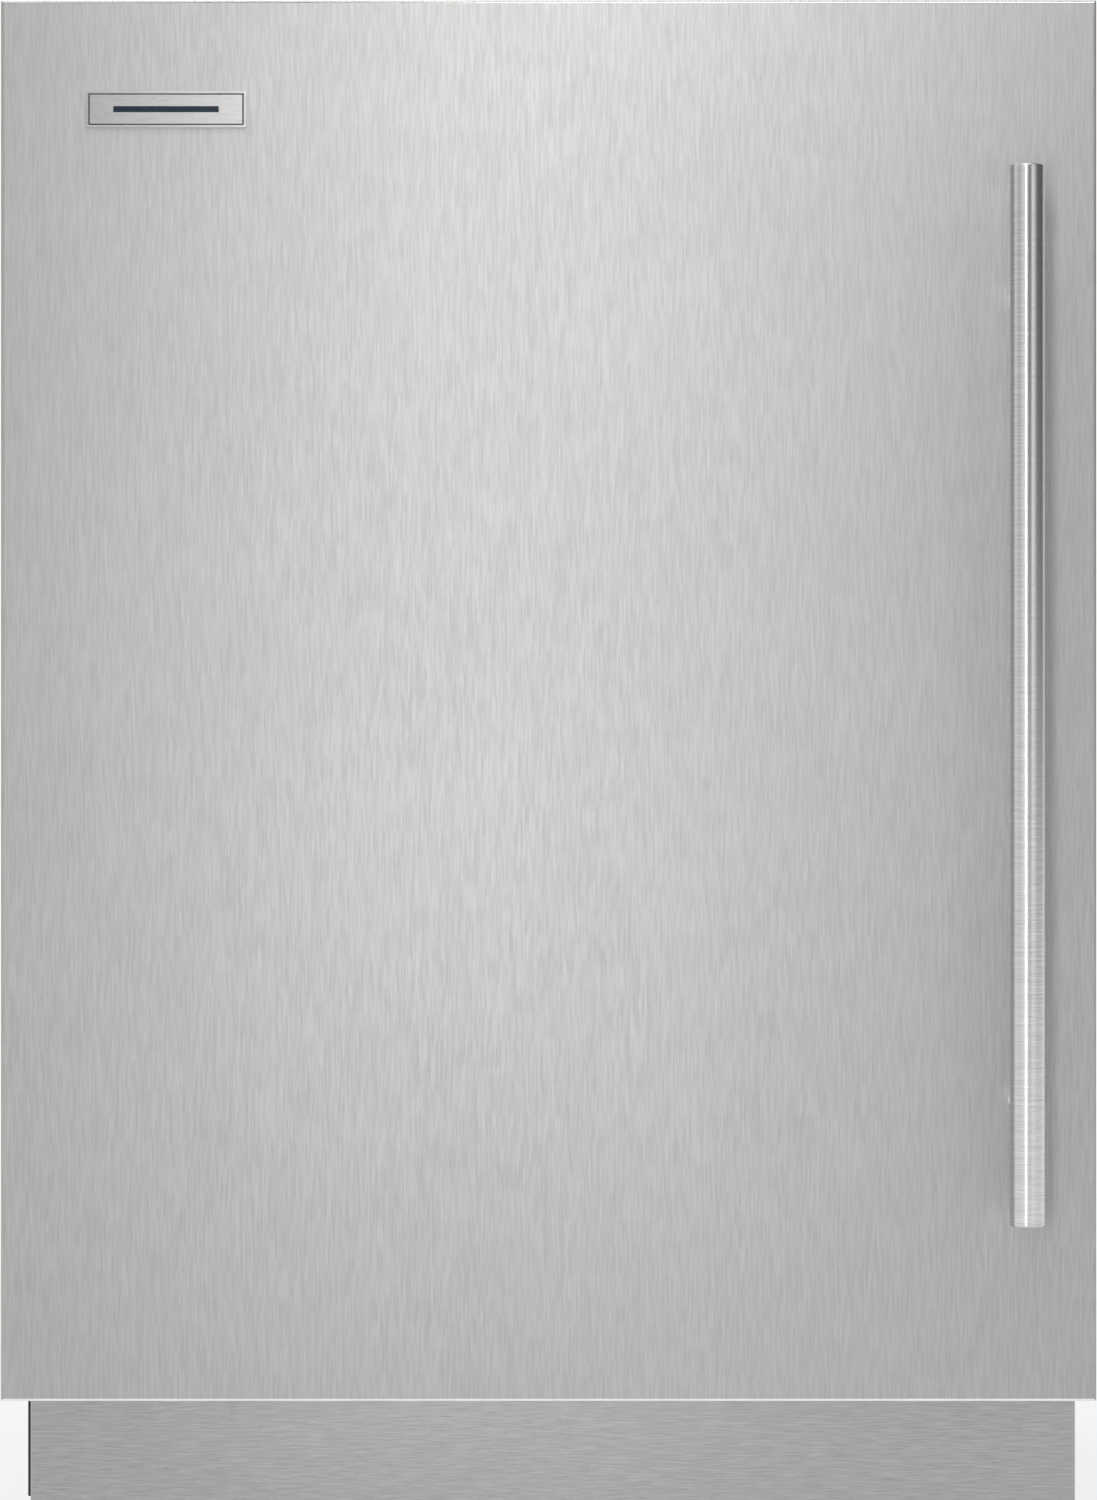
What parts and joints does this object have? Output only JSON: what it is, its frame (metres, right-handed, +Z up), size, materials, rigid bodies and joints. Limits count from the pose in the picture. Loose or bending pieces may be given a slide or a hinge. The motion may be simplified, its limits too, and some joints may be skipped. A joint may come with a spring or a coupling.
{
  "type": "undercounter refrigerator",
  "caption": "Undercounter refrigerator with a brushed stainless door, an upright bar handle on its right, a recessed kick plate, glass shelves, crispers and door bins.",
  "frame": {"origin": "centre of the footprint from the handle's front to the cabinet's back, on the floor the feet stand on", "axes": "+X to the right as seen from the front, +Y to the back, +Z up"},
  "size_m": [0.603, 0.661, 0.867],
  "materials": {
    "brushed_stainless": "satin",
    "dull_stainless": "satin",
    "painted_steel": "satin",
    "black_steel": "satin",
    "bracket_steel": "satin",
    "white_liner": "satin",
    "clear_plastic": "gloss",
    "shelf_glass": "gloss",
    "grey_plastic": "satin",
    "black_plastic": "matte",
    "foam": "matte",
    "gasket_rubber": "matte",
    "copper": "satin",
    "aluminium": "satin"
  },
  "bodies": {
    "cabinet": {"outer_wrapper": "painted_steel", "floor_sheet": "painted_steel", "back_sheet": "bracket_steel", "cabinet_insulation": "foam", "inner_liner": "white_liner", "base_tray": "black_steel", "base_grille": "black_plastic", "kick_plate": "dull_stainless", "hinge_bracket_top": "bracket_steel", "hinge_bracket_bottom": "bracket_steel", "shelf_lower_frame": "white_liner", "shelf_lower_glass": "shelf_glass", "shelf_upper_frame": "white_liner", "shelf_upper_glass": "shelf_glass", "crisper_cover_frame": "white_liner", "crisper_cover_glass": "shelf_glass", "evaporator": "aluminium", "evaporator_cover": "white_liner", "evaporator_fan_motor": "black_plastic", "control_panel": "grey_plastic", "display_window": "black_plastic", "light_lens": "white_liner", "rear_cover": "black_steel", "power_inlet": "black_plastic", "compressor_rail": "bracket_steel", "compressor": "black_steel", "condenser": "aluminium", "condenser_fan_shroud": "black_plastic", "condenser_fan_motor": "black_plastic", "drip_tray": "black_plastic", "control_box": "grey_plastic", "discharge_line": "copper", "suction_line": "copper"},
    "door": {"door_skin": "brushed_stainless", "door_insulation": "foam", "door_liner": "white_liner", "door_gasket": "gasket_rubber", "hinge_bearing_top": "grey_plastic", "hinge_bearing_bottom": "grey_plastic", "handle_bar": "brushed_stainless", "handle_post_top": "brushed_stainless", "handle_post_bottom": "brushed_stainless", "badge_plate": "brushed_stainless"},
    "crisper_left": {"crisper_left": "clear_plastic"},
    "crisper_right": {"crisper_right": "clear_plastic"},
    "bin_lower": {"bin_lower": "clear_plastic"},
    "bin_upper": {"bin_upper": "clear_plastic"},
    "dairy_box": {"dairy_box": "clear_plastic"},
    "dairy_lid": {"dairy_lid": "clear_plastic"},
    "evaporator_fan": {"evaporator_fan": "grey_plastic"},
    "condenser_fan": {"condenser_fan": "grey_plastic"},
    "button_power": {"button_power": "white_liner"},
    "button_colder": {"button_colder": "white_liner"},
    "button_warmer": {"button_warmer": "white_liner"},
    "button_alarm": {"button_alarm": "white_liner"},
    "leg_front_left": {"leg_front_left": "bracket_steel"},
    "leg_front_right": {"leg_front_right": "bracket_steel"},
    "leg_rear_left": {"leg_rear_left": "bracket_steel"},
    "leg_rear_right": {"leg_rear_right": "bracket_steel"}
  },
  "joints": [
    {"name": "door_swing", "type": "hinge", "parent": "cabinet", "child": "door", "pos_m": [-0.2915, -0.2625, 0.4785], "axis": [0, 0, -1], "range_deg": [0, 105]},
    {"name": "crisper_left_slide", "type": "slide", "parent": "cabinet", "child": "crisper_left", "axis": [0, -1, 0], "range_m": [0, 0.068]},
    {"name": "crisper_right_slide", "type": "slide", "parent": "cabinet", "child": "crisper_right", "axis": [0, -1, 0], "range_m": [0, 0.068]},
    {"name": "bin_lower_lift", "type": "slide", "parent": "door", "child": "bin_lower", "axis": [0, 0, 1], "range_m": [0, 0.02]},
    {"name": "bin_upper_lift", "type": "slide", "parent": "door", "child": "bin_upper", "axis": [0, 0, 1], "range_m": [0, 0.02]},
    {"name": "dairy_box_lift", "type": "slide", "parent": "door", "child": "dairy_box", "axis": [0, 0, 1], "range_m": [0, 0.02]},
    {"name": "dairy_lid_hinge", "type": "hinge", "parent": "dairy_box", "child": "dairy_lid", "pos_m": [0, -0.1855, 0.7], "axis": [1, 0, 0], "range_deg": [0, 90]},
    {"name": "evaporator_fan_spin", "type": "hinge", "parent": "cabinet", "child": "evaporator_fan", "pos_m": [0, 0.253, 0.705], "axis": [0, 1, 0], "continuous": true},
    {"name": "condenser_fan_spin", "type": "hinge", "parent": "cabinet", "child": "condenser_fan", "pos_m": [-0.2, 0.2345, 0.13675], "axis": [1, 0, 0], "continuous": true},
    {"name": "button_power_push", "type": "slide", "parent": "cabinet", "child": "button_power", "axis": [0, 1, 0], "range_m": [0, 0.001], "stiffness_N_per_m": 500, "springref_m": -0.002},
    {"name": "button_colder_push", "type": "slide", "parent": "cabinet", "child": "button_colder", "axis": [0, 1, 0], "range_m": [0, 0.001], "stiffness_N_per_m": 500, "springref_m": -0.002},
    {"name": "button_warmer_push", "type": "slide", "parent": "cabinet", "child": "button_warmer", "axis": [0, 1, 0], "range_m": [0, 0.001], "stiffness_N_per_m": 500, "springref_m": -0.002},
    {"name": "button_alarm_push", "type": "slide", "parent": "cabinet", "child": "button_alarm", "axis": [0, 1, 0], "range_m": [0, 0.001], "stiffness_N_per_m": 500, "springref_m": -0.002},
    {"name": "leg_front_left_turn", "type": "hinge", "parent": "cabinet", "child": "leg_front_left", "pos_m": [-0.2647, -0.1315, 0.03], "axis": [0, 0, 1], "continuous": true},
    {"name": "leg_front_right_turn", "type": "hinge", "parent": "cabinet", "child": "leg_front_right", "pos_m": [0.2647, -0.1315, 0.03], "axis": [0, 0, 1], "continuous": true},
    {"name": "leg_rear_left_turn", "type": "hinge", "parent": "cabinet", "child": "leg_rear_left", "pos_m": [-0.2647, 0.2965, 0.03], "axis": [0, 0, 1], "continuous": true},
    {"name": "leg_rear_right_turn", "type": "hinge", "parent": "cabinet", "child": "leg_rear_right", "pos_m": [0.2647, 0.2965, 0.03], "axis": [0, 0, 1], "continuous": true}
  ]
}
